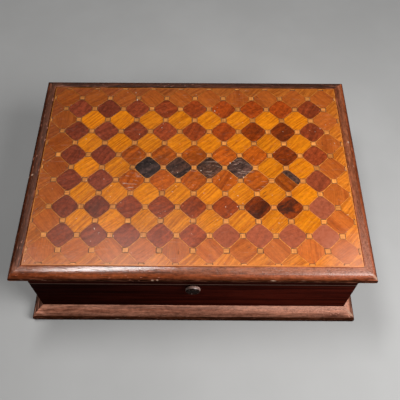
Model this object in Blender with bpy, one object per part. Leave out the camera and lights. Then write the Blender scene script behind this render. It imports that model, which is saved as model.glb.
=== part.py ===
"""Inlaid wooden box: a mitred case with a hinged, parquetry-covered lid and a turn catch.

Metres, +Z up. The origin is the centre of the underside, the front faces -Y.
Profiles are given as (out, height): out is the distance outwards from the edge of the
parquetry field, height is the height above the surface the box stands on.
"""

import math

import bmesh
import bpy
from mathutils import Matrix, Vector

# Driving dimensions
PITCH = 0.026                                  # one repeat of the parquetry
FIELD_REPEATS_X = 10
FIELD_REPEATS_Y = 7
HALF_X = FIELD_REPEATS_X * PITCH / 2           # half of the field, left to right
HALF_Y = FIELD_REPEATS_Y * PITCH / 2           # half of the field, front to back
HEIGHT = 0.091
GLUE_GAP = 0.0002                              # between pieces that are glued together
MITRE_GAP = 0.00012                            # taken off each end of a mitred piece
SHUT_GAP = 0.0003                              # between the lid rim and the case

# Lid
VENEER_THICKNESS = 0.0010
LID_EDGE_DEPTH = 0.0090                        # depth of the moulding round the lid
LID_OVERHANG = 0.0101                          # how far that moulding stands out of the field
LID_WIDEST_BELOW_TOP = 0.0056
JOINT_Z = HEIGHT - 0.0312                      # plane where lid and case meet

# Case
WALL_OUT = 0.0020                              # outer face of rim and walls
WALL_THICKNESS = 0.0070
BOTTOM_THICKNESS = 0.0045
BASE_TOP_Z = 0.0137                            # where the base moulding meets the wall
BASE_OVERHANG = 0.0118
BASE_WIDEST_Z = 0.0046
ARRIS = 0.0005                                 # small chamfer on worked edges

# Hinges
HINGE_X = 0.0780                               # distance of each hinge from the middle
HINGE_LENGTH = 0.0220
HINGE_AXIS_OUT = WALL_OUT + 0.0019
HINGE_LEAF_DEPTH = 0.0058
HINGE_LEAF_THICKNESS = 0.0009
KNUCKLE_RADIUS = 0.0017
KNUCKLE_SPLIT = 0.0038                         # half length of the lid's middle knuckle
PIN_RADIUS = 0.0008
PIN_BORE_RADIUS = 0.0009
SCREW_SPACING = 0.0065                         # of a leaf's two screws, from its middle
SCREW_RADIUS = 0.0009
SCREW_HEAD_RADIUS = 0.0016
SCREW_HEAD_DEPTH = 0.0007
SCREW_LENGTH = 0.0062

# Turn catch in the middle of the front
CATCH_Z = HEIGHT - 0.0356
KNOB_RADIUS = 0.0060
KNOB_LENGTH = 0.0050
SPINDLE_RADIUS = 0.0013
SPINDLE_BORE_RADIUS = 0.0015
WASHER_RADIUS = 0.0034
WASHER_THICKNESS = 0.0006
CAM_THICKNESS = 0.0014
CAM_HUB_RADIUS = 0.0034
CAM_ARC_INNER = 0.0090
CAM_ARC_OUTER = 0.0114
CAM_BEHIND_WALL = 0.0015
NUT_RADIUS = 0.0030
NUT_THICKNESS = 0.0016
KEEPER_PIN_RADIUS = 0.0010
KEEPER_PIN_LENGTH = 0.0032
KEEPER_ABOVE_CATCH = 0.0075
KEEPER_PLATE = (0.0110, 0.0007, 0.0056)

ROUND = 24                                     # sides of a small turned piece

# Sides of the box: turn about Z, half the run of the piece, distance of the field's edge
SIDES = {
    "front": (0, HALF_X, HALF_Y),
    "right": (90, HALF_Y, HALF_X),
    "back": (180, HALF_X, HALF_Y),
    "left": (270, HALF_Y, HALF_X),
}


def material(name, colour, roughness, metallic=0.0):
    """A Principled BSDF of one colour."""
    new = bpy.data.materials.new(name)
    new.use_nodes = True
    shader = new.node_tree.nodes["Principled BSDF"]
    shader.inputs["Base Color"].default_value = (*colour, 1.0)
    shader.inputs["Roughness"].default_value = roughness
    shader.inputs["Metallic"].default_value = metallic
    return new


def make_object(name, mesh_builder, finish, pivot=None):
    """Turns a bmesh in world coordinates into an object whose origin is its pivot's."""
    origin = pivot.location if pivot else Vector()
    bmesh.ops.translate(mesh_builder, verts=mesh_builder.verts, vec=-origin)
    bmesh.ops.recalc_face_normals(mesh_builder, faces=mesh_builder.faces)
    mesh = bpy.data.meshes.new(name)
    mesh_builder.to_mesh(mesh)
    mesh_builder.free()
    mesh.shade_smooth()
    mesh.set_sharp_from_angle(angle=math.radians(32))
    made = bpy.data.objects.new(name, mesh)
    bpy.context.collection.objects.link(made)
    made.parent = pivot
    if finish:
        made.data.materials.append(finish)
    return made


def make_pivot(name, location):
    """An empty on a joint's axis; the pieces of the moving body hang on it."""
    pivot = bpy.data.objects.new(name, None)
    pivot.location = location
    pivot.empty_display_size = 0.02
    bpy.context.collection.objects.link(pivot)
    return pivot


def add_box(mesh, low, high):
    """Adds a box between two corners."""
    low = Vector(low)
    high = Vector(high)
    middle = Matrix.Translation((low + high) / 2)
    size = Matrix.Diagonal((high - low).to_4d())
    bmesh.ops.create_cube(mesh, size=1.0, matrix=middle @ size)


def add_turned(mesh, outline, start, axis, sides=ROUND):
    """Spins an outline of (distance along the axis, radius) about an axis and closes it."""
    along = Vector(axis).normalized()
    turn = Vector((0, 0, 1)).rotation_difference(along).to_matrix().to_4x4()
    place = Matrix.Translation(Vector(start)) @ turn
    rings = []
    for distance, radius in outline:
        ring = []
        for step in range(sides):
            angle = 2 * math.pi * step / sides
            local = Vector((radius * math.cos(angle), radius * math.sin(angle), distance))
            ring.append(mesh.verts.new(place @ local))
        rings.append(ring)
    for lower, upper in zip(rings, rings[1:]):
        for step in range(sides):
            after = (step + 1) % sides
            mesh.faces.new((lower[step], lower[after], upper[after], upper[step]))
    mesh.faces.new(rings[0])
    mesh.faces.new(rings[-1])


def add_slab(mesh, outline, low_y, high_y):
    """Extrudes an outline in X and Z from one Y to another."""
    front = [mesh.verts.new((x, low_y, z)) for x, z in outline]
    back = [mesh.verts.new((x, high_y, z)) for x, z in outline]
    mesh.faces.new(front)
    mesh.faces.new(back)
    for step in range(len(outline)):
        after = (step + 1) % len(outline)
        mesh.faces.new((front[step], front[after], back[after], back[step]))


def mitred_rail(name, profile, side, finish, pivot=None):
    """One side of a mitred frame, with the given profile of (out, height) points."""
    turn, run, edge = SIDES[side]
    spin = Matrix.Rotation(math.radians(turn), 4, "Z")
    mesh = bmesh.new()
    ends = []
    for sign in (-1, 1):
        end = []
        for out, height in profile:
            point = Vector((sign * (run + out - MITRE_GAP), -(edge + out), height))
            end.append(mesh.verts.new(spin @ point))
        ends.append(end)
    left, right = ends
    for step in range(len(profile)):
        after = (step + 1) % len(profile)
        mesh.faces.new((left[step], left[after], right[after], right[step]))
    mesh.faces.new(left)
    mesh.faces.new(right)
    return make_object(name, mesh, finish, pivot)


def cutter(name, mesh):
    """An unrendered object that a Boolean takes away."""
    made = make_object(name, mesh, None)
    made.hide_render = True
    made.display_type = "WIRE"
    return made


def boolean(target, tool, operation="DIFFERENCE"):
    """Cuts the tool from the target, or joins it on."""
    modifier = target.modifiers.new(tool.name, "BOOLEAN")
    modifier.operation = operation
    modifier.solver = "EXACT"
    modifier.object = tool


def bezier(start, control_a, control_b, end, steps):
    """Points of a cubic curve, without its first one."""
    points = []
    for step in range(1, steps + 1):
        t = step / steps
        weights = ((1 - t) ** 3, 3 * t * (1 - t) ** 2, 3 * t * t * (1 - t), t ** 3)
        corners = (start, control_a, control_b, end)
        points.append(tuple(sum(w * c[i] for w, c in zip(weights, corners)) for i in (0, 1)))
    return points


# Profiles

def lid_edge_profile():
    """A thumb moulding: nearly flat at the field, then rounding over to a soft arris."""
    widest = (LID_OVERHANG, HEIGHT - LID_WIDEST_BELOW_TOP)
    foot = (LID_OVERHANG - 0.0010, HEIGHT - LID_EDGE_DEPTH)
    inner = GLUE_GAP
    shoulder = (0.0010, HEIGHT)
    points = [(inner, foot[1]), (inner, HEIGHT), shoulder]
    over_a = (LID_OVERHANG * 0.72, HEIGHT - 0.0003)
    over_b = (LID_OVERHANG, HEIGHT - LID_WIDEST_BELOW_TOP * 0.42)
    points += bezier(shoulder, over_a, over_b, widest, 12)
    under_a = (LID_OVERHANG, widest[1] - 0.0018)
    under_b = (foot[0] + 0.0006, foot[1])
    points += bezier(widest, under_a, under_b, foot, 5)
    return points


def base_profile():
    """A sloping ovolo that stands on the ground."""
    inner = WALL_OUT + GLUE_GAP
    top = (inner, BASE_TOP_Z)
    widest = (BASE_OVERHANG, BASE_WIDEST_Z)
    foot = (BASE_OVERHANG - 0.0008, 0.0)
    points = [(inner, 0.0), top]
    slope_a = (inner + 0.0058, BASE_TOP_Z - 0.0033)
    slope_b = (BASE_OVERHANG, BASE_WIDEST_Z + 0.0046)
    points += bezier(top, slope_a, slope_b, widest, 12)
    points += bezier(widest, (BASE_OVERHANG, 0.0018), (foot[0] + 0.0004, 0.0), foot, 5)
    return points


def wall_profile(low, high):
    """A plain board on edge, its outer arrises just eased."""
    inner = WALL_OUT - WALL_THICKNESS
    return [
        (inner, low),
        (inner, high),
        (WALL_OUT - ARRIS, high),
        (WALL_OUT, high - ARRIS),
        (WALL_OUT, low + ARRIS),
        (WALL_OUT - ARRIS, low),
    ]


# Lid

def build_lid(pivot, finishes):
    """Panel, parquetry sheet, mitred moulding and mitred rim. Returns the rim."""
    deck_z = HEIGHT - LID_EDGE_DEPTH
    panel_top = HEIGHT - VENEER_THICKNESS - GLUE_GAP
    mesh = bmesh.new()
    add_box(mesh, (-HALF_X, -HALF_Y, deck_z), (HALF_X, HALF_Y, panel_top))
    make_object("lid_panel", mesh, finishes["carcass"], pivot)
    mesh = bmesh.new()
    sheet_low = HEIGHT - VENEER_THICKNESS
    add_box(mesh, (-HALF_X, -HALF_Y, sheet_low), (HALF_X, HALF_Y, HEIGHT))
    make_object("lid_parquetry", mesh, finishes["parquetry"], pivot)
    rim = {}
    rim_profile = wall_profile(JOINT_Z + SHUT_GAP / 2, deck_z - GLUE_GAP)
    for side in SIDES:
        mitred_rail("lid_moulding_" + side, lid_edge_profile(), side, finishes["moulding"], pivot)
        rim[side] = mitred_rail("lid_rim_" + side, rim_profile, side, finishes["wall"], pivot)
    return rim


# Case

def build_case(finishes):
    """Four mitred walls, the bottom between them and the moulding round the foot."""
    walls = {}
    profile = wall_profile(0.0, JOINT_Z - SHUT_GAP / 2)
    for side in SIDES:
        walls[side] = mitred_rail("wall_" + side, profile, side, finishes["wall"])
        mitred_rail("base_moulding_" + side, base_profile(), side, finishes["moulding"])
    inside = WALL_OUT - WALL_THICKNESS - GLUE_GAP
    mesh = bmesh.new()
    low = (-HALF_X - inside, -HALF_Y - inside, 0.0)
    high = (HALF_X + inside, HALF_Y + inside, BOTTOM_THICKNESS)
    add_box(mesh, low, high)
    make_object("bottom_panel", mesh, finishes["carcass"])
    return walls


# Hinges

def add_knuckle(mesh, x_from, x_to, y, z):
    """A solid knuckle; its bore is cut afterwards."""
    outline = [(0.0, KNUCKLE_RADIUS), (x_to - x_from, KNUCKLE_RADIUS)]
    add_turned(mesh, outline, (x_from, y, z), (1, 0, 0), 24)


def screw_outline(radius_gap, length):
    """A countersunk screw, from its head down: (distance, radius)."""
    head = SCREW_HEAD_RADIUS + radius_gap
    shank = SCREW_RADIUS + radius_gap
    return [
        (0.0, head),
        (SCREW_HEAD_DEPTH, shank),
        (length - 0.0016, shank),
        (length, 0.0002 + radius_gap),
    ]


def build_hinge(name, x, wall, rim, lid_pivot, brass, steel):
    """A butt hinge let into the top of the back wall and the foot of the lid's rim."""
    wall_y = HALF_Y + WALL_OUT
    axis_y = HALF_Y + HINGE_AXIS_OUT
    half = HINGE_LENGTH / 2
    for part, direction, timber, pivot in (("case", -1, wall, None), ("lid", 1, rim, lid_pivot)):
        # direction is the way from the joint plane into this leaf's timber.
        face = JOINT_Z + direction * 0.00005
        back = face + direction * HINGE_LEAF_THICKNESS
        low_z, high_z = sorted((face, back))
        leaf = bmesh.new()
        add_box(leaf, (x - half, wall_y - HINGE_LEAF_DEPTH, low_z), (x + half, wall_y, high_z))
        leaf = make_object(f"hinge_{name}_leaf_{part}", leaf, brass, pivot)
        if part == "lid":
            spans = [(x - KNUCKLE_SPLIT, x + KNUCKLE_SPLIT)]
        else:
            inner = KNUCKLE_SPLIT + 0.0003
            spans = [(x - half, x - inner), (x + inner, x + half)]
        for number, (x_from, x_to) in enumerate(spans):
            strap = bmesh.new()
            add_box(strap, (x_from, wall_y - 0.0010, low_z), (x_to, axis_y, high_z))
            boolean(leaf, cutter(f"{leaf.name}_strap_{number}", strap), "UNION")
            knuckle = bmesh.new()
            add_knuckle(knuckle, x_from, x_to, axis_y, JOINT_Z)
            boolean(leaf, cutter(f"{leaf.name}_knuckle_{number}", knuckle), "UNION")
        bore = bmesh.new()
        bore_outline = [(0.0, PIN_BORE_RADIUS), (HINGE_LENGTH + 0.002, PIN_BORE_RADIUS)]
        add_turned(bore, bore_outline, (x - half - 0.001, axis_y, JOINT_Z), (1, 0, 0), 24)
        boolean(leaf, cutter(f"{leaf.name}_bore", bore))
        # The leaf lies in a shallow mortise.
        mortise = bmesh.new()
        floor = back + direction * 0.0003
        mouth = face - direction * 0.0010
        z_from, z_to = sorted((floor, mouth))
        add_box(
            mortise,
            (x - half - 0.0002, wall_y - HINGE_LEAF_DEPTH - 0.0002, z_from),
            (x + half + 0.0002, wall_y + 0.0010, z_to),
        )
        boolean(timber, cutter(f"{leaf.name}_mortise", mortise))
        for number, offset in enumerate((-SCREW_SPACING, SCREW_SPACING), start=1):
            start = Vector((x + offset, wall_y - HINGE_LEAF_DEPTH * 0.56, face))
            start.z += direction * 0.0001
            hole = bmesh.new()
            above = [(-0.0010, SCREW_HEAD_RADIUS + 0.0002)]
            outline = above + screw_outline(0.0002, SCREW_LENGTH + 0.0003)
            add_turned(hole, outline, start, (0, 0, direction), 20)
            hole = cutter(f"{leaf.name}_screw_hole_{number}", hole)
            boolean(leaf, hole)
            boolean(timber, hole)
            screw = bmesh.new()
            add_turned(screw, screw_outline(0.0, SCREW_LENGTH), start, (0, 0, direction), 20)
            screw = make_object(f"hinge_{name}_screw_{part}_{number}", screw, steel, pivot)
            slot = bmesh.new()
            wide = SCREW_HEAD_RADIUS + 0.0002
            slot_low = (start.x - wide, start.y - 0.0002, start.z - 0.0003)
            slot_high = (start.x + wide, start.y + 0.0002, start.z + 0.0003)
            add_box(slot, slot_low, slot_high)
            boolean(screw, cutter(f"{screw.name}_slot", slot))
    pin = bmesh.new()
    rounding = 0.0003
    length = HINGE_LENGTH - 0.0004
    outline = [
        (0.0, PIN_RADIUS - rounding),
        (rounding, PIN_RADIUS),
        (length - rounding, PIN_RADIUS),
        (length, PIN_RADIUS - rounding),
    ]
    add_turned(pin, outline, (x - length / 2, axis_y, JOINT_Z), (1, 0, 0), 20)
    make_object(f"hinge_{name}_pin", pin, steel)


# Turn catch

def knob_outline():
    """The knob from the wall outwards: a short neck, then a full round head, barely dished."""
    neck = KNOB_RADIUS * 0.66
    widest_at = KNOB_LENGTH * 0.50
    outline = [(0.0002, neck * 1.05), (0.0008, neck)]
    outline += bezier((0.0008, neck), (0.0012, neck * 0.98), (0.0011, KNOB_RADIUS),
                      (widest_at, KNOB_RADIUS), 6)
    outline += bezier((widest_at, KNOB_RADIUS), (widest_at + 0.0014, KNOB_RADIUS),
                      (KNOB_LENGTH, KNOB_RADIUS * 0.94), (KNOB_LENGTH, KNOB_RADIUS * 0.62), 7)
    dish = KNOB_LENGTH - 0.0004
    outline += [(dish, KNOB_RADIUS * 0.34), (dish - 0.0001, KNOB_RADIUS * 0.10)]
    return outline


def finger_outline():
    """The cam's arm and curved finger, with the catch unlatched and the finger lying left.

    Angles are from +X towards +Z. Turned a quarter clockwise as seen from the front, the
    finger comes over the keeper's pin, which then can't rise, and the arm stops beside it.
    """
    def at(radius, degrees):
        angle = math.radians(degrees)
        return (radius * math.cos(angle), CATCH_Z + radius * math.sin(angle))

    root = CAM_HUB_RADIUS * 0.7
    tip, arm_near, arm_far = 146, 202, 222
    inner_steps, outer_steps = 8, 11
    outline = [at(root, arm_near)]
    for step in range(inner_steps + 1):
        outline.append(at(CAM_ARC_INNER, arm_near + (tip - arm_near) * step / inner_steps))
    for step in range(outer_steps + 1):
        outline.append(at(CAM_ARC_OUTER, tip + (arm_far - tip) * step / outer_steps))
    outline.append(at(root, arm_far + 8))
    return outline


def build_catch(front_wall, pivot, lid_pivot, finishes):
    """Knob, spindle, washer, cam and nut, and the keeper on the lid."""
    face_y = -(HALF_Y + WALL_OUT)
    inner_y = face_y + WALL_THICKNESS
    outward = (0, -1, 0)
    inward = (0, 1, 0)

    hole = bmesh.new()
    outline = [(-0.001, SPINDLE_BORE_RADIUS), (WALL_THICKNESS + 0.001, SPINDLE_BORE_RADIUS)]
    add_turned(hole, outline, (0, face_y, CATCH_Z), inward, 24)
    boolean(front_wall, cutter("catch_hole", hole))

    knob = bmesh.new()
    add_turned(knob, knob_outline(), (0, face_y, CATCH_Z), outward, 32)
    knob = make_object("catch_knob", knob, finishes["knob"], pivot)
    socket = bmesh.new()
    socket_depth = KNOB_LENGTH * 0.60
    outline = [(-0.001, SPINDLE_BORE_RADIUS), (socket_depth, SPINDLE_BORE_RADIUS)]
    add_turned(socket, outline, (0, face_y, CATCH_Z), outward, 24)
    boolean(knob, cutter("catch_knob_socket", socket))

    cam_front = inner_y + CAM_BEHIND_WALL
    nut_front = cam_front + CAM_THICKNESS + GLUE_GAP
    spindle_start = face_y - socket_depth + GLUE_GAP
    spindle_length = nut_front + NUT_THICKNESS + 0.0004 - spindle_start
    spindle = bmesh.new()
    outline = [(0.0, SPINDLE_RADIUS), (spindle_length, SPINDLE_RADIUS)]
    add_turned(spindle, outline, (0, spindle_start, CATCH_Z), inward, 24)
    make_object("catch_spindle", spindle, finishes["brass"], pivot)

    def bored_disc(name, front_y, radius, thickness, sides, finish, parent):
        """A washer or nut with the spindle's bore through it."""
        disc = bmesh.new()
        add_turned(disc, [(0.0, radius), (thickness, radius)], (0, front_y, CATCH_Z), inward, sides)
        disc = make_object(name, disc, finish, parent)
        bore = bmesh.new()
        through = [(-0.001, SPINDLE_BORE_RADIUS), (thickness + 0.001, SPINDLE_BORE_RADIUS)]
        add_turned(bore, through, (0, front_y, CATCH_Z), inward, 24)
        boolean(disc, cutter(name + "_bore", bore))
        return disc

    washer_y = inner_y + GLUE_GAP
    bored_disc("catch_washer", washer_y, WASHER_RADIUS, WASHER_THICKNESS, ROUND,
               finishes["brass"], None)
    bored_disc("catch_nut", nut_front, NUT_RADIUS, NUT_THICKNESS, 6, finishes["brass"], pivot)
    cam = bored_disc("catch_cam", cam_front, CAM_HUB_RADIUS, CAM_THICKNESS, ROUND,
                     finishes["brass"], pivot)
    finger = bmesh.new()
    add_slab(finger, finger_outline(), cam_front, cam_front + CAM_THICKNESS)
    finger = cutter("catch_cam_finger", finger)
    boolean(cam, finger, "UNION")
    # The bore is cut last, so that the finger's root doesn't close it.
    bore = cam.modifiers[0]
    cam.modifiers.move(cam.modifiers.find(bore.name), len(cam.modifiers) - 1)

    keeper = bmesh.new()
    keeper_z = CATCH_Z + KEEPER_ABOVE_CATCH
    wide, thick, tall = KEEPER_PLATE
    plate_y = inner_y + GLUE_GAP
    plate_low = (-wide / 2, plate_y, keeper_z - tall / 2)
    plate_high = (wide / 2, plate_y + thick, keeper_z + tall / 2)
    add_box(keeper, plate_low, plate_high)
    keeper = make_object("catch_keeper", keeper, finishes["brass"], lid_pivot)
    pin = bmesh.new()
    outline = [(thick * 0.5, KEEPER_PIN_RADIUS), (KEEPER_PIN_LENGTH, KEEPER_PIN_RADIUS)]
    add_turned(pin, outline, (0, plate_y, keeper_z), inward, 20)
    boolean(keeper, cutter("catch_keeper_pin", pin), "UNION")


def main():
    for old in list(bpy.data.objects):
        bpy.data.objects.remove(old)
    finishes = {
        "moulding": material("moulding_wood", (0.16, 0.055, 0.026), 0.38),
        "wall": material("wall_wood", (0.085, 0.022, 0.012), 0.42),
        "carcass": material("carcass_wood", (0.24, 0.12, 0.06), 0.6),
        "parquetry": material("parquetry_woods", (0.42, 0.16, 0.05), 0.36),
        "knob": material("knob_wood", (0.07, 0.025, 0.018), 0.3),
        "brass": material("hinge_brass", (0.48, 0.34, 0.14), 0.35, 1.0),
        "steel": material("pin_steel", (0.40, 0.38, 0.34), 0.4, 1.0),
    }
    lid_pivot = make_pivot("lid_hinge_axis", (0, HALF_Y + HINGE_AXIS_OUT, JOINT_Z))
    catch_pivot = make_pivot("catch_axis", (0, -(HALF_Y + WALL_OUT), CATCH_Z))
    rim = build_lid(lid_pivot, finishes)
    walls = build_case(finishes)
    for name, x in (("left", -HINGE_X), ("right", HINGE_X)):
        build_hinge(name, x, walls["back"], rim["back"], lid_pivot, finishes["brass"],
                    finishes["steel"])
    build_catch(walls["front"], catch_pivot, lid_pivot, finishes)


main()
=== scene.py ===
"""Looks of the inlaid wooden box: parquetry laid tile by tile, worn mouldings, old varnish."""

import math
import random

import bmesh
import bpy
from mathutils import Euler, Matrix, Vector, noise


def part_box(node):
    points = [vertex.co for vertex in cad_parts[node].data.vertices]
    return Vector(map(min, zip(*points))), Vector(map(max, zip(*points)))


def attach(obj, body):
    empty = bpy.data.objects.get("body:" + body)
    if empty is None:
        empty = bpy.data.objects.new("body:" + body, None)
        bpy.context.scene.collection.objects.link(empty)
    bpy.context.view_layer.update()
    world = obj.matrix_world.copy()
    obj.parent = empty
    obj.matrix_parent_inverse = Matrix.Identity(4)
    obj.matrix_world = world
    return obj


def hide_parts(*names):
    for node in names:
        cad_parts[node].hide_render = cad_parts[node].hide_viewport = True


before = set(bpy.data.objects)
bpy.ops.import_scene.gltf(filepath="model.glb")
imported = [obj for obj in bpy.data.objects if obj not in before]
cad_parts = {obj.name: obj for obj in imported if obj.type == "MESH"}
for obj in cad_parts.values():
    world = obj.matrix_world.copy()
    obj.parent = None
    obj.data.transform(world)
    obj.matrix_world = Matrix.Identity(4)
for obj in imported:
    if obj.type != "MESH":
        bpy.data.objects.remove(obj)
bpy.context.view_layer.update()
rng = random.Random(7)

# Places, read from the frame
FIELD_LOW, FIELD_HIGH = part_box("lid_parquetry")
REPEATS_X, REPEATS_Y = 10, 7
PITCH = (FIELD_HIGH.x - FIELD_LOW.x) / REPEATS_X
HALF_X, HALF_Y = FIELD_HIGH.x, FIELD_HIGH.y
TOP_Z = FIELD_HIGH.z
LID_EDGE_LOW, LID_EDGE_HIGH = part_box("lid_moulding_front")
BASE_LOW, BASE_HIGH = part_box("base_moulding_front")
WALL_LOW, WALL_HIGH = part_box("wall_front")
KNOB_LOW, KNOB_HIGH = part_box("catch_knob")

# Parquetry, in pitches
STRING = 0.018                  # pale line between two cells
STUD_HALF = 0.080               # half side of a small square
GLUE = 0.013                    # dark line round a small square
EDGE_STRING = 0.035             # pale line along the field's edge
RIM = 0.035                     # width of the darker rim of a tile

# Parquetry, in metres
TILE_BEVEL = 0.00009
TILE_DEPTH = 0.0005
GROUND_DROP = 0.00005           # the strings lie a hair below the tiles
GLUE_DROP = 0.00002             # and the glue lines between the two
TILT = math.radians(0.06)       # how far a tile may lean

# The four sides: turn about Z, half the run, distance of the field's edge
SIDES = {
    "front": (0, HALF_X, HALF_Y),
    "right": (90, HALF_Y, HALF_X),
    "back": (180, HALF_X, HALF_Y),
    "left": (270, HALF_Y, HALF_X),
}
# Painted shade added to each side's moulding, most on the back and left lengths, which face away
# from the lamps
SIDE_PAINTED_SHADE = {"front": 0.0, "right": 0.1, "back": 0.88, "left": 0.70}

# Wear of the mouldings, in metres from a mitre
MITRE_GAP = 0.00012
MITRE_STEADY = 0.004            # a length is even this close to its mitre
MITRE_WEAR = 0.012              # and more worn this close to it
MITRE_BARE = 0.0016             # bare wood and a painted highlight along the front right mitre
DRY_SHEEN_REACH = 0.10                # how far the dried varnish and a painted sheen reach from that corner
NOSE_FROM, UNDER_FROM = 0.004, 0.75     # painted shade at which the nose and the underside begin


# Node helpers

class Shader:
    """A material's node tree, with short calls for the nodes used here."""

    def __init__(self, name):
        self.material = bpy.data.materials.new(name)
        self.material.use_nodes = True
        self.tree = self.material.node_tree
        self.surface = self.tree.nodes["Principled BSDF"]

    def feed(self, socket, value):
        """Links an output to a socket, or sets the socket's own value."""
        if isinstance(value, bpy.types.NodeSocket):
            self.tree.links.new(value, socket)
        elif isinstance(value, tuple) and len(value) == 3 and socket.type == "RGBA":
            socket.default_value = (*value, 1.0)
        else:
            socket.default_value = value

    def node(self, kind, inputs, **settings):
        made = self.tree.nodes.new("ShaderNode" + kind)
        for name, value in settings.items():
            setattr(made, name, value)
        for name, value in inputs.items():
            self.feed(made.inputs[name], value)
        return made

    def math(self, operation, a, b=0.0, c=0.0, clamp=False):
        inputs = {0: a, 1: b, 2: c}
        return self.node("Math", inputs, operation=operation, use_clamp=clamp).outputs[0]

    def scaled(self, vector, scale):
        return self.node("VectorMath", {0: vector, 1: scale}, operation="MULTIPLY").outputs[0]

    def noise(self, vector, scale, detail=2.0, roughness=0.5, distortion=0.0):
        """Noise from 0 to 1; scale is one number per axis, in cycles a metre."""
        inputs = {
            "Vector": self.scaled(vector, scale),
            "Scale": 1.0,
            "Detail": detail,
            "Roughness": roughness,
            "Distortion": distortion,
        }
        return self.node("TexNoise", inputs).outputs["Fac"]

    def spread(self, value, low, high, to_low=0.0, to_high=1.0):
        """Maps a range to another, clamped."""
        inputs = {0: value, 1: low, 2: high, 3: to_low, 4: to_high}
        return self.node("MapRange", inputs, interpolation_type="SMOOTHSTEP").outputs[0]

    def mix(self, factor, a, b, blend="MIX"):
        made = self.node("Mix", {0: factor}, data_type="RGBA", blend_type=blend)
        self.feed(made.inputs[6], a)
        self.feed(made.inputs[7], b)
        return made.outputs[2]

    def dim(self, colour, factor):
        """Multiplies a colour by a number."""
        grey = self.node("CombineColor", {0: factor, 1: factor, 2: factor}).outputs[0]
        return self.mix(1.0, colour, grey, "MULTIPLY")

    def attribute(self, name, output="Fac"):
        return self.node("Attribute", {}, attribute_name=name).outputs[output]

    def finish(self, colour, roughness, height, depth):
        """Wires colour, roughness and a bump of the given depth in metres to the surface."""
        bump = self.node("Bump", {"Height": height, "Distance": depth, "Strength": 1.0})
        self.feed(self.surface.inputs["Base Color"], colour)
        self.feed(self.surface.inputs["Roughness"], roughness)
        self.feed(self.surface.inputs["Normal"], bump.outputs[0])
        return self.material


def wood_figure(shader, grain, light, dark, figure, pore_share, pore_colour):
    """Colour, pores and fibre of one wood. grain is (along, across, through) in metres.

    figure is how many growth bands there are to a metre, pore_share from 0 to 1.
    """
    wave = shader.noise(grain, (25, 70, 70), 3, 0.6)
    shift = shader.node("CombineXYZ", {"Y": shader.math("MULTIPLY", wave, 0.006)}).outputs[0]
    grain = shader.node("VectorMath", {0: grain, 1: shift}, operation="ADD").outputs[0]
    bands = shader.noise(grain, (figure * 0.05, figure, figure), 3, 0.6)
    fibre = shader.noise(grain, (60, 1300, 1300), 2, 0.6)
    pores = shader.noise(grain, (130, 1500, 1500), 1)
    bands = shader.spread(bands, 0.32, 0.66)
    colour = shader.mix(bands, dark, light)
    streak = shader.spread(fibre, 0.35, 0.75, 1.08, 0.80)
    colour = shader.dim(colour, streak)
    open_pores = shader.spread(pores, 0.74 - 0.16 * pore_share, 0.80 - 0.12 * pore_share)
    colour = shader.mix(shader.math("MULTIPLY", open_pores, 0.75), colour, pore_colour)
    return colour, fibre, open_pores


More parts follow.
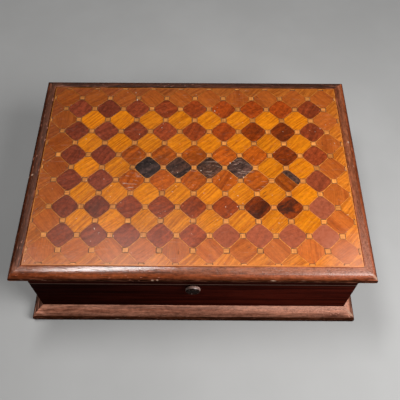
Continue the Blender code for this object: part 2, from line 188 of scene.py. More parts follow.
def tile_wood(name, light, dark, figure, pore_share=0.4, warm=None, black=None, rim_shade=0.6,
              mottled=0.10, painted_light_slope=0.0):
    """Veneer. Each tile brings its own grain, tone and, where two woods vary, warmth.

    The last argument is a painted shade: how much darker the wood is at the left and back than at
    the front right, as the light falls.
    """
    shader = Shader(name)
    grain = shader.attribute("grain", "Vector")
    pore_colour = tuple(0.30 * part for part in dark)
    colour, fibre, pores = wood_figure(
        shader, grain, light, dark, figure, pore_share, pore_colour)
    if warm:
        other, _, _ = wood_figure(
            shader, grain, warm[0], warm[1], figure, pore_share, pore_colour)
        colour = shader.mix(shader.attribute("warmth"), colour, other)
    if black:
        patch = shader.noise(grain, (50, 130, 130), 4, 0.6, 0.8)
        patch = shader.spread(patch, 0.40, 0.66)
        amount = shader.math("MULTIPLY", patch, shader.attribute("figured"))
        colour = shader.mix(amount, colour, black)
    tone = shader.math("ADD", shader.attribute("tone"), 1.0)
    rim = shader.spread(shader.attribute("rim"), 0.1, 1.0, 1.0, rim_shade)
    tone = shader.math("MULTIPLY", tone, rim)
    place = shader.node("TexCoord", {}).outputs["Object"]
    axes = shader.node("SeparateXYZ", {0: place}).outputs
    # Painted shade: darker towards the left and back, lighter towards the front right
    painted_light_factor = shader.math("MULTIPLY_ADD", axes["X"], 0.85 * painted_light_slope, 1.0 - 0.06 * painted_light_slope)
    painted_light_factor = shader.math("MULTIPLY_ADD", axes["Y"], -1.75 * painted_light_slope, painted_light_factor)
    tone = shader.math("MULTIPLY", tone, painted_light_factor)
    colour = shader.dim(colour, tone)
    # Wear in the varnish, in the lid's own frame: cloudy patches, fine scuffs and specks.
    cloud = shader.noise(place, (24, 24, 24), 4, 0.6)
    mottle = shader.noise(place, (330, 330, 330), 4, 0.7)
    mottle = shader.spread(mottle, 0.36, 0.64, 1.0 - mottled, 1.0 + mottled)
    colour = shader.dim(colour, mottle)
    speck = shader.spread(shader.noise(place, (520, 520, 520), 1), 0.75, 0.79)
    speck = shader.math("MULTIPLY", speck, shader.spread(cloud, 0.45, 0.60))
    colour = shader.mix(speck, colour, (0.80, 0.62, 0.48))
    scuff = shader.noise(place, (90, 420, 300), 3, 0.6, 1.2)
    scuff = shader.spread(scuff, 0.58, 0.72)
    scuffed = shader.math("MULTIPLY", scuff, shader.attribute("scuffed"))
    scuffed = shader.math("ADD", scuffed, shader.math("MULTIPLY", scuff, 0.06), clamp=True)
    colour = shader.mix(scuffed, colour, (0.55, 0.36, 0.27))
    # Painted sheen on some dark cells, a lighter colour mixed in
    dulled = shader.math("MULTIPLY", shader.attribute("dulled"), mottle)
    colour = shader.mix(dulled, colour, (0.42, 0.110, 0.052))
    # Painted sheen towards the front edge, stronger to the left, and at the front right corner.
    near_front = shader.math("MULTIPLY_ADD", axes["Y"], -14.0, -0.25, clamp=True)
    leftwards = shader.math("MULTIPLY_ADD", axes["X"], -0.7, 0.11)
    painted_sheen = shader.math("MULTIPLY", shader.math("POWER", near_front, 2.0), leftwards)
    corner = (HALF_X, -HALF_Y, TOP_Z)
    from_corner = shader.node("VectorMath", {0: place, 1: corner}, operation="DISTANCE")
    corner_sheen = shader.spread(from_corner.outputs["Value"], 0.004, 0.040, 0.42, 0.0)
    painted_sheen = shader.math("ADD", painted_sheen, corner_sheen)
    painted_sheen = shader.math("MULTIPLY", painted_sheen, shader.spread(cloud, 0.3, 0.7, 0.6, 1.4))
    colour = shader.mix(painted_sheen, colour, (0.68, 0.34, 0.235))
    roughness = shader.spread(cloud, 0.3, 0.7, 0.24, 0.33)
    roughness = shader.math("ADD", roughness, shader.math("MULTIPLY", pores, 0.15), clamp=True)
    roughness = shader.math("ADD", roughness, shader.math("MULTIPLY", scuffed, 0.3), clamp=True)
    height = shader.math("SUBTRACT", shader.math("MULTIPLY", fibre, 0.4), pores)
    shader.surface.inputs["Specular IOR Level"].default_value = 0.35
    return shader.finish(colour, roughness, height, 0.00003)


def board_wood(name, light, dark, figure, along="X", raw_side=None, shade_z=None, gloss=None,
               shine=0.5, painted_light_slope=0.0):
    """Solid wood of the mouldings, walls and boards.

    along is the axis the grain runs along. raw_side is (axis, sign, face): the wood is
    unvarnished further in than 1 mm from that outer face. shade_z is (z, depth): a painted
    shadow darkens the wood just below that height, under the lid, and its arris gets a pale
    painted highlight. gloss is the range of roughness on a moulding, which brings its own
    grain, wear, painted shade, chips, and dried varnish with a painted sheen, and shine is
    its level of reflection. The light slope is a painted light: how much lighter the wood is
    at its right end.
    """
    shader = Shader(name)
    if gloss:
        grain = shader.attribute("grain", "Vector")
        place = grain
    else:
        place = shader.node("TexCoord", {}).outputs["Object"]
        turn = {"X": (0.0, 0.0, 0.0), "Y": (0.0, 0.0, math.pi / 2)}
        inputs = {"Vector": place, "Rotation": turn[along]}
        grain = shader.node("Mapping", inputs, vector_type="TEXTURE").outputs[0]
    pore_colour = tuple(0.35 * part for part in dark)
    colour, fibre, pores = wood_figure(shader, grain, light, dark, figure, 0.55, pore_colour)
    cloud = shader.noise(place, (14, 14, 14), 4, 0.6)
    dirt = shader.spread(cloud, 0.35, 0.7, 1.0, 0.78)
    colour = shader.dim(colour, dirt)
    roughness = shader.spread(cloud, 0.3, 0.7, *(gloss or (0.26, 0.38)))
    if gloss:
        # Painted shade: darker and rougher on the nose, the underside and the lengths turned from
        # the light, broken by streaks
        streaks = shader.noise(place, (130, 600, 600), 4, 0.7)
        grime = shader.math("MULTIPLY_ADD", shader.attribute("grime"), -0.84, 1.0)
        grime = shader.math("MULTIPLY", grime, shader.spread(streaks, 0.34, 0.66, 0.78, 1.18))
        colour = shader.dim(colour, grime)
        mottle = shader.noise(place, (240, 420, 420), 4, 0.7)
        mottle = shader.spread(mottle, 0.36, 0.64, 0.76, 1.26)
        colour = shader.dim(colour, mottle)
        rubbed = shader.noise(place, (70, 500, 500), 4, 0.65)
        rub = shader.math("MULTIPLY", shader.attribute("wear"), shader.spread(rubbed, 0.50, 0.66))
        rubbed_colour = tuple(min(1.0, 1.7 * part + 0.05) for part in light)
        colour = shader.mix(rub, colour, rubbed_colour)
        pits = shader.spread(shader.noise(place, (260, 640, 640), 2), 0.64, 0.70)
        pits = shader.math("MULTIPLY", pits, shader.spread(cloud, 0.42, 0.60, 0.1, 0.75))
        colour = shader.mix(pits, colour, tuple(min(1.0, 1.6 * part + 0.12) for part in light))
        # Chips, and bare wood with a painted highlight along the front right mitre
        colour = shader.mix(shader.attribute("chip"), colour, (0.54, 0.33, 0.23))
        # Dried varnish with a painted sheen: pale specks near the front right corner
        speckle = shader.noise(place, (700, 1100, 1100), 3, 0.7)
        speckle = shader.spread(speckle, 0.36, 0.70, 0.15, 0.95)
        dry_sheen = shader.math("MULTIPLY", speckle, shader.attribute("chalk"))
        colour = shader.mix(dry_sheen, colour, tuple(1.35 * part + 0.09 for part in light))
        roughness = shader.math("MULTIPLY_ADD", shader.attribute("grime"), 0.3, roughness)
        roughness = shader.math("MULTIPLY_ADD", shader.attribute("chalk"), 0.2, roughness)
        roughness = shader.math("ADD", roughness, shader.math("MULTIPLY", rub, 0.12), clamp=True)
    axes = shader.node("SeparateXYZ", {0: place}).outputs
    # Painted light: lighter towards the right end, darker towards the left
    if painted_light_slope:
        painted_light_factor = shader.spread(axes["X"], -HALF_X, HALF_X, 1.0 - 0.6 * painted_light_slope, 1.0 + painted_light_slope)
        colour = shader.dim(colour, painted_light_factor)
    # Painted shadow just below the given height, and a painted highlight on the arris there
    if shade_z:
        top, depth = shade_z
        shade = shader.spread(axes["Z"], top - depth, top - 0.0008, 1.0, 0.30)
        colour = shader.dim(colour, shade)
        arris = shader.spread(axes["Z"], top - 0.0009, top - 0.0004)
        colour = shader.mix(arris, colour, (0.10, 0.055, 0.042))
    if raw_side:
        axis, sign, face = raw_side
        inward = shader.math("MULTIPLY", shader.math("SUBTRACT", axes[axis], face), -sign)
        raw = shader.spread(inward, 0.0010, 0.0018)
        raw_light, raw_dark = (0.42, 0.22, 0.11), (0.30, 0.14, 0.065)
        raw_colour, _, _ = wood_figure(shader, grain, raw_light, raw_dark, 140, 0.3,
                                       (0.10, 0.05, 0.02))
        colour = shader.mix(raw, colour, raw_colour)
        roughness = shader.math("ADD", roughness, shader.math("MULTIPLY", raw, 0.3), clamp=True)
    if gloss:
        shader.surface.inputs["Specular IOR Level"].default_value = shine
    else:
        shader.surface.inputs["IOR"].default_value = 1.02
    height = shader.math("SUBTRACT", shader.math("MULTIPLY", fibre, 0.5), pores)
    return shader.finish(colour, roughness, height, 0.00009)


def plain_material(name, colour, colour_b, roughness, metallic=0.0, scale=120, depth=0.00005):
    """A mottled, finely scratched finish for glue, metal and the floor."""
    shader = Shader(name)
    place = shader.node("TexCoord", {}).outputs["Object"]
    mottle = shader.noise(place, (scale, scale, scale), 4, 0.6)
    fine = shader.noise(place, (scale * 9, scale * 9, scale * 9), 2)
    mixed = shader.mix(shader.spread(mottle, 0.35, 0.65), colour, colour_b)
    rough = shader.spread(mottle, 0.3, 0.7, roughness - 0.07, roughness + 0.1)
    shader.surface.inputs["Metallic"].default_value = metallic
    return shader.finish(mixed, rough, fine, depth)


# Mesh helpers

def new_object(name, mesh_builder, finishes, body, smooth_angle=40):
    """Makes an object of a bmesh that is in the frame's coordinates."""
    bmesh.ops.recalc_face_normals(mesh_builder, faces=mesh_builder.faces)
    mesh = bpy.data.meshes.new(name)
    mesh_builder.to_mesh(mesh)
    mesh_builder.free()
    mesh.shade_smooth()
    mesh.set_sharp_from_angle(angle=math.radians(smooth_angle))
    made = bpy.data.objects.new(name, mesh)
    bpy.context.collection.objects.link(made)
    for finish in finishes:
        mesh.materials.append(finish)
    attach(made, body)
    return made


def bezier(start, control_a, control_b, end, steps):
    """Points of a cubic curve, without its first one."""
    points = []
    for step in range(1, steps + 1):
        t = step / steps
        weights = ((1 - t) ** 3, 3 * t * (1 - t) ** 2, 3 * t * t * (1 - t), t ** 3)
        corners = (start, control_a, control_b, end)
        points.append(tuple(sum(w * c[i] for w, c in zip(weights, corners)) for i in (0, 1)))
    return points


# Parquetry

def clip(outline, axis, limit, sign):
    """The part of an outline below a limit where sign is 1, or above it where sign is -1."""
    kept = []
    for step, point in enumerate(outline):
        before = outline[step - 1]
        inside = sign * (point[axis] - limit) <= 0
        was_inside = sign * (before[axis] - limit) <= 0
        if inside != was_inside:
            t = (limit - before[axis]) / (point[axis] - before[axis])
            kept.append(tuple(before[i] + t * (point[i] - before[i]) for i in (0, 1)))
        if inside:
            kept.append(point)
    return kept


def rounded(outline, radius, steps):
    """Rounds each corner of an outline."""
    made = []
    count = len(outline)
    for step, corner in enumerate(outline):
        corner = Vector(corner)
        before = Vector(outline[step - 1])
        after = Vector(outline[(step + 1) % count])
        reach_a = min(radius, (before - corner).length * 0.49)
        reach_b = min(radius, (after - corner).length * 0.49)
        start = corner + (before - corner).normalized() * reach_a
        end = corner + (after - corner).normalized() * reach_b
        for part in range(steps + 1):
            t = part / steps
            point = start * (1 - t) ** 2 + corner * 2 * t * (1 - t) + end * t * t
            made.append(tuple(point))
    return made


def cell_outline(x, y, radius):
    """A cell standing on its corner, its corners cut off beside the small squares."""
    reach = 0.5 - STRING / math.sqrt(2)
    cut = 0.5 - STUD_HALF - GLUE
    half = reach - cut
    corners = [(cut, -half), (cut, half), (half, cut), (-half, cut),
               (-cut, half), (-cut, -half), (-half, -cut), (half, -cut)]
    wobble = 0.006
    corners = [(x + a + rng.uniform(-wobble, wobble), y + b + rng.uniform(-wobble, wobble))
               for a, b in corners]
    return rounded(corners, radius, 3)


def square_outline(x, y, half):
    """A small square, not quite true."""
    wobble = 0.007
    corners = ((-1, -1), (1, -1), (1, 1), (-1, 1))
    return [(x + a * half + rng.uniform(-wobble, wobble),
             y + b * half + rng.uniform(-wobble, wobble)) for a, b in corners]


class Tiles:
    """Tiles of one wood, as one mesh with each tile's own grain, tone and wear."""

    FLOATS = ("tone", "warmth", "figured", "scuffed", "dulled")

    def __init__(self, name, finish, drop=0.0):
        self.name = name
        self.finish = finish
        self.drop = drop
        self.mesh = bmesh.new()
        self.grain = self.mesh.verts.layers.float_vector.new("grain")
        self.layers = {key: self.mesh.verts.layers.float.new(key) for key in self.FLOATS}
        self.rim = self.mesh.verts.layers.float.new("rim")

    def add(self, outline, direction, **values):
        """Adds a tile; direction is its grain's, in degrees from +X."""
        for axis, repeats in ((0, REPEATS_X), (1, REPEATS_Y)):
            limit = repeats / 2 - EDGE_STRING
            outline = clip(clip(outline, axis, limit, 1), axis, -limit, -1)
        if len(outline) < 3:
            return
        points = [Vector((x * PITCH, y * PITCH)) for x, y in outline]
        middle = sum(points, Vector((0, 0))) / len(points)
        lean = Vector((rng.uniform(-TILT, TILT), rng.uniform(-TILT, TILT)))
        high = max((point - middle).dot(lean) for point in points)
        offset = Vector((rng.uniform(-3, 3), rng.uniform(-3, 3), rng.uniform(-3, 3)))
        angle = math.radians(direction)
        rings = []
        top = TOP_Z - self.drop
        stages = (
            (RIM * PITCH, 0, 1, 0.0),
            (TILE_BEVEL, 0, 1, 1.0),
            (0, TILE_BEVEL, 1, 1.0),
            (0, TILE_DEPTH, 0, 1.0),
        )
        for inset, drop, leaning, rim in stages:
            ring = []
            for point in points:
                inwards = (middle - point).normalized() * inset
                at = point + inwards
                z = top - drop + leaning * ((at - middle).dot(lean) - high)
                vert = self.mesh.verts.new((at.x, at.y, z))
                along = at.x * math.cos(angle) + at.y * math.sin(angle)
                across = at.y * math.cos(angle) - at.x * math.sin(angle)
                vert[self.grain] = Vector((along, across, z)) + offset
                for key, layer in self.layers.items():
                    vert[layer] = values.get(key, 0.0)
                vert[self.rim] = rim
                ring.append(vert)
            rings.append(ring)
        count = len(points)
        for upper, lower in zip(rings, rings[1:]):
            for step in range(count):
                after = (step + 1) % count
                self.mesh.faces.new((upper[step], upper[after], lower[after], lower[step]))
        self.mesh.faces.new(rings[0])
        self.mesh.faces.new(rings[-1])

    def build(self):
        return new_object(self.name, self.mesh, [self.finish], "lid", 35)


def tile_finishes():
    """The woods of the parquetry."""
    return {
        "amber": tile_wood("amber_veneer", (0.74, 0.218, 0.004), (0.50, 0.120, 0.002), 680, 0.5,
                           rim_shade=0.85),
        "edge": tile_wood("edge_veneer", (0.66, 0.190, 0.016), (0.40, 0.092, 0.006), 420, 0.45,
                          warm=((0.42, 0.098, 0.022), (0.30, 0.062, 0.013)), rim_shade=0.85,
                          painted_light_slope=1.1),
        "border": tile_wood("border_veneer", (0.48, 0.112, 0.015), (0.36, 0.073, 0.010), 180, 0.3,
                            rim_shade=0.85, painted_light_slope=1.0),
        "russet": tile_wood("russet_veneer", (0.46, 0.088, 0.004), (0.28, 0.046, 0.002), 260, 0.5,
                            black=(0.10, 0.025, 0.004), mottled=0.18),
        "dark": tile_wood("dark_veneer", (0.25, 0.044, 0.016), (0.165, 0.027, 0.010), 260, 0.35,
                          warm=((0.39, 0.056, 0.003), (0.24, 0.033, 0.002)),
                          black=(0.040, 0.011, 0.005), mottled=0.24),
        "black": tile_wood("ebony_veneer", (0.066, 0.036, 0.030), (0.022, 0.012, 0.010), 160, 0.3,
                           warm=((0.17, 0.060, 0.030), (0.030, 0.015, 0.010)), mottled=0.45),
        "stud": tile_wood("stud_veneer", (0.74, 0.275, 0.058), (0.54, 0.175, 0.034), 420, 0.3,
                          rim_shade=0.8, painted_light_slope=0.9),
        "glue": plain_material("old_glue", (0.030, 0.012, 0.006), (0.07, 0.03, 0.015), 0.6),
    }


def dark_cell(column, row):
    """Wood and character of one inner cell, counted from the front left."""
    near_middle = row in (2, 3) and 2 <= column <= 6
    if near_middle:
        scuffed = 0.9 if (column, row) == (2, 2) else 0.25
        return "russet", {"tone": rng.uniform(-0.12, 0.12) + 0.09 * (column - 3),
                          "figured": rng.uniform(0, 0.5), "scuffed": scuffed if row == 2 else 0.1}
    warmth = min(1.0, max(0.0, (column - 1.0) / 4.0))
    if column == 8 or row == 0:
        warmth *= 0.45
    tone = rng.uniform(-0.14, 0.12) + (0.18 if row == 0 else 0.0)
    # Painted sheen on the right column and the front row, strongest at the front right
    dulled = {(8, 0): 0.9, (8, 1): 0.6, (8, 2): 0.2}.get(
        (column, row), 0.45 if row == 0 and column > 4 else 0.03)
    values = {"tone": tone, "warmth": warmth, "figured": 0.15, "dulled": dulled}
    # Cells cut from darker wood: how far their tone drops, and how much of them is streaked.
    darkest = {(6, 1): (-0.48, 0.8), (7, 1): (-0.20, 0.9), (7, 3): (-0.3, 0.5),
               (6, 4): (-0.25, 0.4), (7, 4): (-0.36, 0.5), (1, 1): (-0.05, 0.5)}
    if (column, row) in darkest:
        values["tone"], values["figured"] = darkest[column, row]
        values["dulled"] = 0.0
    return "dark", values


def build_parquetry():
    """Ground, glue lines, small squares and cells of the whole field."""
    finishes = tile_finishes()
    groups = {key: Tiles("tiles_" + key, finish) for key, finish in finishes.items()}
    groups["glue"].drop = GLUE_DROP
    rising = 45                                    # the amber veneer's grain, in degrees
    half_x, half_y = REPEATS_X / 2, REPEATS_Y / 2

    # Outer lattice: a red-brown ring round amber cells, with four black cells in the middle.
    for column in range(REPEATS_X):
        for row in range(REPEATS_Y):
            x, y = column + 0.5 - half_x, row + 0.5 - half_y
            ring = column in (0, REPEATS_X - 1) or row in (0, REPEATS_Y - 1)
            if ring:
                groups["border"].add(cell_outline(x, y, 0.035), rng.choice((35, 130, 90)),
                                     tone=rng.uniform(-0.08, 0.08), scuffed=0.05)
            elif row == 3 and 3 <= column <= 6:
                browner = {3: 0.05, 4: 0.55, 5: 0.85, 6: 0.25}[column]
                groups["black"].add(cell_outline(x, y, 0.06), rng.uniform(30, 60),
                                    tone=rng.uniform(-0.1, 0.3), warmth=browner,
                                    scuffed=0.5 if column > 4 else 0.1)
            else:
                groups["amber"].add(cell_outline(x, y, 0.02), rising + rng.uniform(-7, 7),
                                    tone=rng.uniform(-0.09, 0.09))

    # Inner lattice: dark cells, and amber half cells where it meets the field's edge.
    for column in range(-1, REPEATS_X):
        for row in range(-1, REPEATS_Y):
            x, y = column + 1 - half_x, row + 1 - half_y
            if column in (-1, REPEATS_X - 1) or row in (-1, REPEATS_Y - 1):
                redder = min(1.0, max(0.0, 0.35 - 0.09 * x + 0.10 * y))
                groups["edge"].add(cell_outline(x, y, 0.02), rising + rng.uniform(-12, 12),
                                   tone=rng.uniform(-0.08, 0.08), warmth=redder)
                continue
            wood, values = dark_cell(column, row)
            outline = cell_outline(x, y, 0.075)
            if (column, row) == (7, 2):
                # This cell is pieced: russet below, an ebony slip across its upper right.
                split_cell(groups, outline, x, y)
            else:
                groups[wood].add(outline, rng.uniform(20, 70), **values)

    # Small squares where four cells meet.
    places = [(column + 1 - half_x, row + 0.5 - half_y)
              for column in range(-1, REPEATS_X) for row in range(REPEATS_Y)]
    places += [(column + 0.5 - half_x, row + 1 - half_y)
               for column in range(REPEATS_X) for row in range(-1, REPEATS_Y)]
    for x, y in places:
        groups["stud"].add(square_outline(x, y, STUD_HALF), rng.choice((0, 90)),
                           tone=rng.uniform(-0.22, 0.18), scuffed=rng.choice((0, 0, 0.4)))
        groups["glue"].add(square_outline(x, y, STUD_HALF + GLUE), 0)

    for group in groups.values():
        group.build()

    string = tile_wood("string_veneer", (0.66, 0.215, 0.036), (0.46, 0.130, 0.018), 400, 0.2,
                       painted_light_slope=1.5)
    ground = bmesh.new()
    layer = ground.verts.layers.float_vector.new("grain")
    size = FIELD_HIGH - FIELD_LOW
    size.z -= GROUND_DROP
    place = Matrix.Translation(FIELD_LOW + size / 2) @ Matrix.Diagonal(size.to_4d())
    bmesh.ops.create_cube(ground, size=1.0, matrix=place)
    bmesh.ops.bevel(ground, geom=list(ground.edges), offset=0.00015, segments=2, affect="EDGES")
    for vert in ground.verts:
        vert[layer] = vert.co
    ground = new_object("parquetry_ground", ground, [string], "lid", 35)
    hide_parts("lid_parquetry")


def split_cell(groups, outline, x, y):
    """Adds a cell of two woods: russet, and an ebony slip along its upper right edge."""
    def turned(points, degrees):
        spin = Matrix.Rotation(math.radians(degrees), 2)
        return [tuple(spin @ Vector(point)) for point in points]

    seam, gap = 0.12, 0.006
    square_on = turned([(a - x, b - y) for a, b in outline], -45)
    for wood, limit, sign, tone in (("russet", seam, 1, -0.25), ("black", seam + gap, -1, 0.1)):
        part = turned(clip(square_on, 0, limit, sign), 45)
        groups[wood].add([(a + x, b + y) for a, b in part], 130, tone=tone, figured=0.4,
                         warmth=0.4)


# Mouldings

def lid_edge_profile():
    """(out, height, wear, painted shade) round the lid's thumb moulding, from its inner foot."""
    out = -LID_EDGE_LOW.y - HALF_Y
    inner = -LID_EDGE_HIGH.y - HALF_Y
    foot_z = LID_EDGE_LOW.z
    widest = (out, TOP_Z - 0.0056)
    foot = (out - 0.0010, foot_z)
    shoulder = (0.0010, TOP_Z)
    over = bezier(shoulder, (out * 0.72, TOP_Z - 0.0003), (out, TOP_Z - 0.0024), widest, 22)
    under = bezier(widest, (out, widest[1] - 0.0018), (foot[0] + 0.0006, foot_z), foot, 7)
    points = [(inner, foot_z, 0.0, 1.0), (inner, TOP_Z - 0.0001, 0.2, 0.5)]
    points += [(inner + 0.0002, TOP_Z, 0.8, 0.1), (*shoulder, 0.15, 0.0)]
    return points + sweep(over, under, 0.5, (0.26, 1.0))


def sweep(over, under, arris_wear, shaded_range):
    """Adds wear, most at the arris, and painted shade, from none to most over the range given."""
    points = []
    for step, (a, b) in enumerate(over):
        t = step / (len(over) - 1)
        rise = min(1.0, max(0.0, (t - shaded_range[0]) / (shaded_range[1] - shaded_range[0])))
        wear = 0.12 + (arris_wear - 0.12) * t ** 5
        points.append((a, b, wear, 0.92 * rise * rise * (3 - 2 * rise)))
    for step, (a, b) in enumerate(under):
        t = (step + 1) / len(under)
        points.append((a, b, arris_wear * (1 - t), 0.92 + 0.08 * t))
    return points


def base_profile():
    """(out, height, wear, painted shade) round the sloping moulding at the foot."""
    out = -BASE_LOW.y - HALF_Y
    inner = -BASE_HIGH.y - HALF_Y
    top = (inner, BASE_HIGH.z)
    widest = (out, 0.0046)
    foot = (out - 0.0008, BASE_LOW.z)
    over = bezier(top, (inner + 0.0058, top[1] - 0.0033), (out, widest[1] + 0.0046), widest, 22)
    under = bezier(widest, (out, 0.0018), (foot[0] + 0.0004, foot[1]), foot, 7)
    points = [(inner, foot[1], 0.0, 1.0), (*top, 0.9, 0.0)]
    return points + sweep(over, under, 0.25, (0.10, 0.85))


def build_rail(profile, side, chips):
    """One mitred length, slightly uneven, rubbed along its arris and chipped where named.

    The nose takes the second material, and faces that look down the third, an unpolished
    one darker in painted shade. A chip is (place along the run, place along the profile from 0 to
    1, radius, depth).
    """
    turn, run, edge = SIDES[side]
    spin = Matrix.Rotation(math.radians(turn), 4, "Z")
    mesh = bmesh.new()
    grain = mesh.verts.layers.float_vector.new("grain")
    wear_layer = mesh.verts.layers.float.new("wear")
    painted_shade_layer = mesh.verts.layers.float.new("grime")
    chip_layer = mesh.verts.layers.float.new("chip")
    chalk_layer = mesh.verts.layers.float.new("chalk")
    stations = [step / 110 for step in range(111)]
    for along, _, radius, _ in chips:
        middle = 0.5 + along / (2 * run)
        stations += [middle + radius * step / (2 * run) / 3 for step in range(-6, 7)]
    stations += [t for near in (0.0006, 0.0012, 0.0020) for t in (near / run, 1 - near / run)]
    stations = sorted(stations)
    seed = Vector((turn * 0.37, edge * 9, 4.0))     # each length has wood of its own
    count = len(profile)
    rings = []
    for t in stations:
        ring = []
        for index, (out, height, wear, grime) in enumerate(profile):
            reach = run + out - MITRE_GAP
            x = -reach + 2 * reach * t
            local = Vector((x, -(edge + out), height))
            before = Vector(profile[index - 1][:2])
            after = Vector(profile[(index + 1) % count][:2])
            tangent = (after - before).normalized()
            normal = Vector((0, tangent.y, tangent.x)) if wear > 0 else Vector((0, 0, 0))
            uneven = noise.noise(local * 32 + seed) * 0.00009
            uneven += noise.noise(local * 260 + seed) * 0.00003
            edge_hold = min(1.0, (reach - abs(x)) / MITRE_STEADY)
            dent = uneven * min(1.0, wear * 4) * edge_hold - 0.00006
            local_chip = 0.0
            for along, spot, radius, depth in chips:
                centre = profile[round(spot * (count - 1))]
                gap = Vector((x - along, out - centre[0], height - centre[1])).length
                bite = max(0.0, 1 - gap / radius)
                local_chip = max(local_chip, min(1.0, bite * 2.2))
                dent -= depth * min(1.0, bite * 1.6)
            corner = max(0.0, 1 - (reach - abs(x)) / MITRE_WEAR)
            # The front right mitre gets bare wood with a painted highlight
            at_dry_lit_end = (side == "front" and x > 0) or (side == "right" and x < 0)
            if at_dry_lit_end and 0 < grime < 0.6:
                local_chip = max(local_chip, 1.1 - (reach - abs(x)) / MITRE_BARE)
            shift = normal * dent if wear > 0 else Vector((0, 0, 0))
            vert = mesh.verts.new(spin @ (local + shift))
            vert[grain] = Vector((x, out * 1.1, height)) + seed
            vert[wear_layer] = min(1.0, wear + 0.5 * corner) if wear > 0 else 0.0
            # Painted shade from the profile, plus more on the lengths turned from the light
            vert[painted_shade_layer] = min(1.0, grime + SIDE_PAINTED_SHADE[side])
            # Dried varnish and painted sheen, most at the front right corner, none where the
            # painted shade lies
            from_dry_lit_corner = math.hypot(0.65 * (vert.co.x - HALF_X), 1.5 * (vert.co.y + HALF_Y))
            dry_sheen_amount = max(0.0, 1 - from_dry_lit_corner / DRY_SHEEN_REACH)
            vert[chalk_layer] = dry_sheen_amount * max(0.0, 1 - 3 * grime)
            vert[chip_layer] = local_chip
            ring.append(vert)
        rings.append(ring)
    for left, right in zip(rings, rings[1:]):
        for step in range(count):
            after = (step + 1) % count
            face = mesh.faces.new((left[step], left[after], right[after], right[step]))
            grime = profile[step][3]
            face.material_index = (grime > NOSE_FROM) + (grime > UNDER_FROM)
    mesh.faces.new(rings[0])
    mesh.faces.new(rings[-1])
    return mesh


def build_mouldings():
    """All eight lengths, each in place of its CAD node."""
    lid_wood = board_wood("lid_moulding_wood", (0.30, 0.088, 0.036), (0.15, 0.038, 0.015), 260,
                          gloss=(0.15, 0.22), shine=0.7)
    base_wood = board_wood("base_moulding_wood", (0.50, 0.215, 0.135), (0.22, 0.078, 0.048), 300,
                           gloss=(0.36, 0.50), shine=0.25)
    lid_nose = board_wood("lid_nose_wood", (0.33, 0.076, 0.023), (0.17, 0.034, 0.010), 260,
                          gloss=(0.35, 0.45), shine=0.06)
    base_nose = board_wood("base_nose_wood", (0.54, 0.215, 0.130), (0.23, 0.074, 0.042), 300,
                           gloss=(0.42, 0.55), shine=0.08)
    # Faces that look down: unpolished, and darker as painted shade
    shaded_underside = board_wood("moulding_underside", (0.22, 0.055, 0.018), (0.10, 0.024, 0.008), 260,
                            gloss=(0.60, 0.70), shine=0.02)
    lid_chips = {
        "front": [(-1.16 * PITCH, 0.71, 0.0012, 0.0002), (-1.02 * PITCH, 0.69, 0.0010, 0.0002),
                  (1.9 * PITCH, 0.66, 0.0006, 0.0002), (2.35 * PITCH, 0.70, 0.0008, 0.0002),
                  (3.2 * PITCH, 0.68, 0.0008, 0.0002)],
        "left": [(0.30 * PITCH, 0.30, 0.0012, 0.0002), (0.34 * PITCH, 0.55, 0.0011, 0.0002),
                 (-1.9 * PITCH, 0.80, 0.0009, 0.0002)],
        "right": [(1.1 * PITCH, 0.25, 0.0010, 0.0002), (-1.4 * PITCH, 0.78, 0.0009, 0.0002)],
        "back": [(2.1 * PITCH, 0.80, 0.0010, 0.0003)],
    }
    base_chips = {
        "front": [(-2.6 * PITCH, 0.75, 0.0009, 0.0002), (3.9 * PITCH, 0.72, 0.0010, 0.0002)],
        "left": [(1.2 * PITCH, 0.74, 0.0010, 0.0002)],
        "right": [(-0.8 * PITCH, 0.74, 0.0009, 0.0002)],
        "back": [(0.9 * PITCH, 0.72, 0.0010, 0.0002)],
    }
    for side in SIDES:
        for kind, body, profile, woods, chips in (
            ("lid_moulding", "lid", lid_edge_profile(), [lid_wood, lid_nose], lid_chips[side]),
            ("base_moulding", "case", base_profile(), [base_wood, base_nose], base_chips[side]),
        ):
            name = f"worn_{kind}_{side}"
            mesh = build_rail(profile, side, chips)
            made = new_object(name, mesh, [*woods, shaded_underside], body, 50)
            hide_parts(f"{kind}_{side}")


# Knob

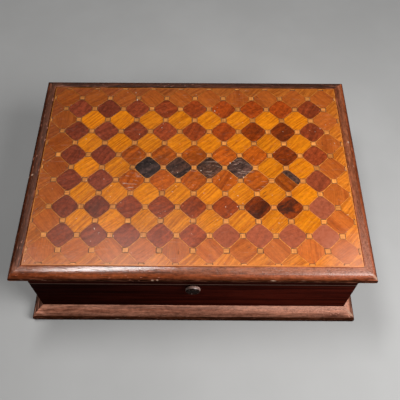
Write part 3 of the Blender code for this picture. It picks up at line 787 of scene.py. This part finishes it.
def build_knob():
    """The turned knob, finer than its CAD solid, its neck and face darkened with painted shade.
    """
    radius = (KNOB_HIGH.x - KNOB_LOW.x) / 2
    wall_y = KNOB_HIGH.y + 0.0002
    length = wall_y - KNOB_LOW.y
    middle_z = (KNOB_LOW.z + KNOB_HIGH.z) / 2
    neck = radius * 0.66
    widest = length * 0.50
    face = radius * 0.62
    outline = [(0.0002, 0.0), (0.0002, neck * 1.05), (0.0008, neck)]
    outline += bezier((0.0008, neck), (0.0012, neck * 0.98), (0.0011, radius),
                      (widest, radius), 12)
    outline += bezier((widest, radius), (widest + 0.0014, radius), (length, radius * 0.94),
                      (length, face), 14)
    outline += bezier((length, face), (length, radius * 0.45), (length - 0.0004, radius * 0.40),
                      (length - 0.0004, radius * 0.22), 6)
    outline += [(length - 0.0005, radius * 0.10), (length - 0.0005, 0.0)]
    sides = 72
    mesh = bmesh.new()
    grain = mesh.verts.layers.float_vector.new("grain")
    grime = mesh.verts.layers.float.new("grime")
    rings = []
    for depth, ring_radius in outline:
        ring = []
        for step in range(sides if ring_radius else 1):
            angle = 2 * math.pi * step / sides
            spot = Vector((math.cos(angle), math.sin(angle), depth * 300))
            worn = 1 + 0.008 * noise.noise(spot)
            x = ring_radius * worn * spot.x
            z = middle_z + ring_radius * worn * spot.y
            vert = mesh.verts.new((x, wall_y - depth, z))
            vert[grain] = (z, x, depth)
            # Painted shade on the neck by the wall and on the face
            inner_painted_shade = 1 - (depth - 0.0010) / 0.0008
            outer_painted_shade = (depth - widest) / (0.8 * (length - widest))
            vert[grime] = 0.9 * min(1.0, max(0.0, inner_painted_shade, outer_painted_shade))
            ring.append(vert)
        rings.append(ring)
    for inner, outer in zip(rings, rings[1:]):
        for step in range(sides):
            after = (step + 1) % sides
            if len(inner) == 1:
                face = mesh.faces.new((inner[0], outer[step], outer[after]))
            elif len(outer) == 1:
                face = mesh.faces.new((inner[step], outer[0], inner[after]))
            else:
                face = mesh.faces.new((inner[step], outer[step], outer[after], inner[after]))
            face.material_index = int(inner[0][grime] > 0.7)
    # A lit copy of the wood, lightened, for the sides, and a copy in painted shade for the neck
    # and face
    lit_polished = board_wood("knob_wood_lit_polished", (0.82, 0.50, 0.42), (0.50, 0.28, 0.22), 500,
                          gloss=(0.18, 0.26), shine=1.0)
    shaded_face = board_wood("knob_face_painted_shade", (0.09, 0.040, 0.028), (0.045, 0.018, 0.012), 500,
                         gloss=(0.40, 0.50), shine=0.04)
    knob = new_object("turned_knob", mesh, [lit_polished, shaded_face], "catch", 35)
    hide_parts("catch_knob")


# CAD nodes that keep their shape

def paint(node, finish):
    """Gives a CAD node a better material."""
    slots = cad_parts[node].material_slots
    for slot in slots:
        slot.material = finish
    if not slots:
        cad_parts[node].data.materials.append(finish)


def paint_frame():
    """Walls, boards, hinges and catch."""
    light, dark = (0.050, 0.006, 0.003), (0.018, 0.002, 0.001)
    # The axis each wall faces along, which way, where its face lies, and its grain's axis
    faces = {
        "front": ("Y", -1, WALL_LOW.y, "X"),
        "back": ("Y", 1, -WALL_LOW.y, "X"),
        "left": ("X", -1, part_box("wall_left")[0].x, "Y"),
        "right": ("X", 1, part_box("wall_right")[1].x, "Y"),
    }
    joint_z = WALL_HIGH.z
    for side, (axis, sign, face, along) in faces.items():
        raw = (axis, sign, face)
        # Case walls: a painted shadow below the joint with the lid and a painted highlight on its
        # arris; the front wall is also painted lighter towards its right end
        case_wood = board_wood(f"case_wood_{side}", light, dark, 200, along, raw,
                               (joint_z, 0.0045), painted_light_slope=1.0 if side == "front" else 0.0)
        rim_wood = board_wood(f"rim_wood_{side}", light, dark, 200, along, raw)
        paint("wall_" + side, case_wood)
        paint("lid_rim_" + side, rim_wood)
    board = board_wood("raw_board", (0.44, 0.235, 0.12), (0.30, 0.145, 0.068), 110)
    paint("lid_panel", board)
    paint("bottom_panel", board)
    brass = plain_material("tarnished_brass", (0.50, 0.33, 0.12), (0.20, 0.12, 0.05), 0.36,
                           metallic=1.0, scale=220)
    steel = plain_material("dull_steel", (0.42, 0.40, 0.37), (0.20, 0.17, 0.14), 0.42,
                           metallic=1.0, scale=300)
    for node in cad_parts:
        if "screw" in node or node.endswith("_pin"):
            paint(node, steel)
        elif node.startswith(("hinge_", "catch_")) and node != "catch_knob":
            paint(node, brass)


# Studio

def build_studio():
    """Pale floor, soft lights and the camera."""
    mesh = bmesh.new()
    bmesh.ops.create_grid(mesh, x_segments=8, y_segments=8, size=3.0)
    floor_mesh = bpy.data.meshes.new("floor")
    mesh.to_mesh(floor_mesh)
    mesh.free()
    floor = bpy.data.objects.new("floor", floor_mesh)
    bpy.context.collection.objects.link(floor)
    paper = plain_material("floor_paper", (0.43, 0.427, 0.42), (0.46, 0.457, 0.45), 0.8,
                           scale=6, depth=0.00002)
    floor_mesh.materials.append(paper)

    world = bpy.data.worlds.new("studio")
    world.use_nodes = True
    world.node_tree.nodes["Background"].inputs["Color"].default_value = (1, 1, 1, 1)
    world.node_tree.nodes["Background"].inputs["Strength"].default_value = 0.05
    bpy.context.scene.world = world

    centre = Vector((0, 0, TOP_Z))
    # Name, place from the lid's centre, size, power in watts
    lights = (
        ("key", (0.40, -0.27, 0.45), (0.40, 0.40), 4.4),
        ("overhead", (-0.25, 0.12, 1.04), (0.60, 0.17), 5.0),
    )
    for name, place, size, power in lights:
        lamp = bpy.data.lights.new(name, "AREA")
        lamp.shape = "ELLIPSE"
        lamp.size, lamp.size_y = size
        lamp.energy = power
        made = bpy.data.objects.new(name, lamp)
        made.location = centre + Vector(place)
        made.rotation_euler = (centre - made.location).to_track_quat("-Z", "Y").to_euler()
        bpy.context.collection.objects.link(made)

    camera = bpy.data.cameras.new("camera")
    camera.lens = 47.93
    camera.sensor_width = 36.0
    made = bpy.data.objects.new("camera", camera)
    made.location = centre + Vector((0.228, -10.025, 14.191)) * PITCH
    elevation, yaw, roll = math.radians(58.244), math.radians(0.16), math.radians(0.197)
    aim = Euler((math.pi / 2 - elevation, 0, yaw)).to_matrix()
    made.rotation_euler = (aim @ Matrix.Rotation(roll, 3, "Z")).to_euler()
    bpy.context.collection.objects.link(made)
    bpy.context.scene.camera = made
    bpy.context.scene.view_settings.view_transform = "Standard"


build_parquetry()
build_mouldings()
build_knob()
paint_frame()
build_studio()
